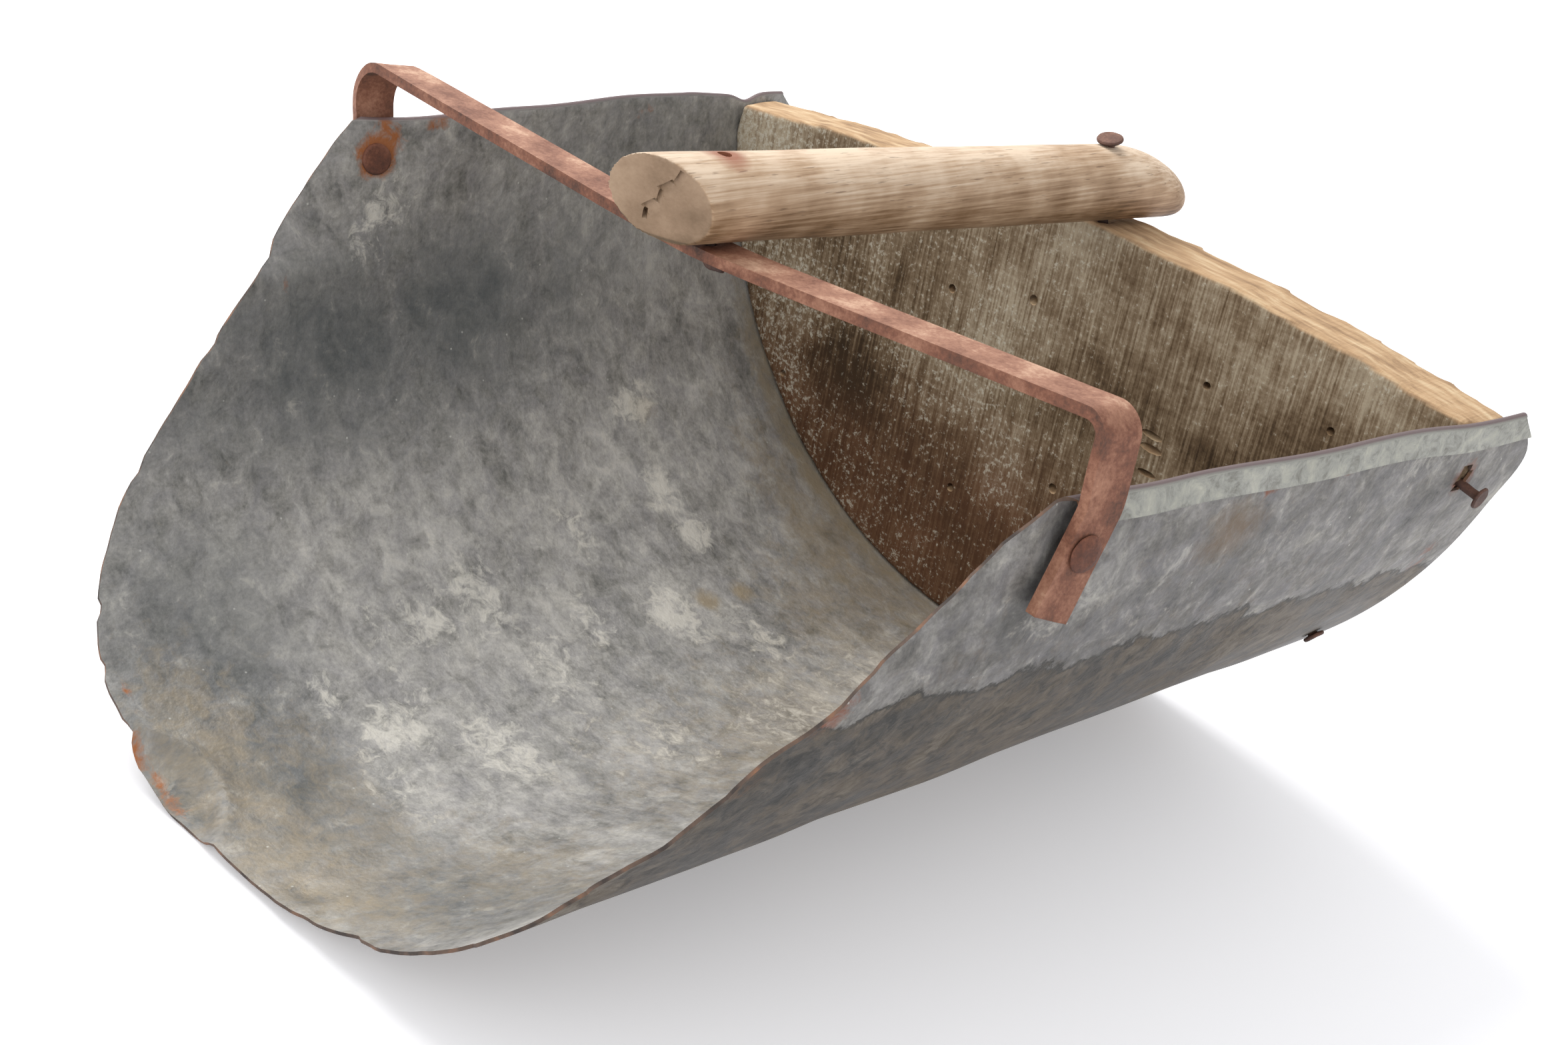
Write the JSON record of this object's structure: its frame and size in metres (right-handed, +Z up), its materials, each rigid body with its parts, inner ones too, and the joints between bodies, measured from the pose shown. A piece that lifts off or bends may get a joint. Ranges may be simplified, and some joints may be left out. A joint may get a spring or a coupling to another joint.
{
  "type": "feed scoop",
  "caption": "Old feed scoop: a bent galvanised sheet trough on a wooden back board, with a round wooden handle on a riveted iron strap.",
  "frame": {"origin": "middle of the object's footprint on the surface that it stands on", "axes": "+Z up, +Y from the open mouth towards the back board, along the handle, +X to the right seen from the front of the mouth"},
  "size_m": [0.3264, 0.3418, 0.1992],
  "materials": {
    "weathered_galvanised_sheet": "dull zinc, stained and scratched",
    "grey_sawn_board": "rough sawn, weathered grey brown",
    "worn_handle_wood": "smooth, hand worn, dry",
    "rusty_strap_iron": "dry pinkish brown rust",
    "rusty_fixings": "dark rust"
  },
  "bodies": {
    "root": {"trough_sheet": "weathered_galvanised_sheet", "back_board": "grey_sawn_board", "handle": "worn_handle_wood", "bail_strap": "rusty_strap_iron", "rivet_left": "rusty_fixings", "rivet_right": "rusty_fixings", "rim_nail_1": "rusty_fixings", "rim_nail_2": "rusty_fixings", "rim_nail_3": "rusty_fixings", "rim_nail_4": "rusty_fixings", "rim_nail_5": "rusty_fixings", "rim_nail_6": "rusty_fixings", "handle_nail_back": "rusty_fixings", "handle_nail_front": "rusty_fixings"}
  },
  "joints": []
}
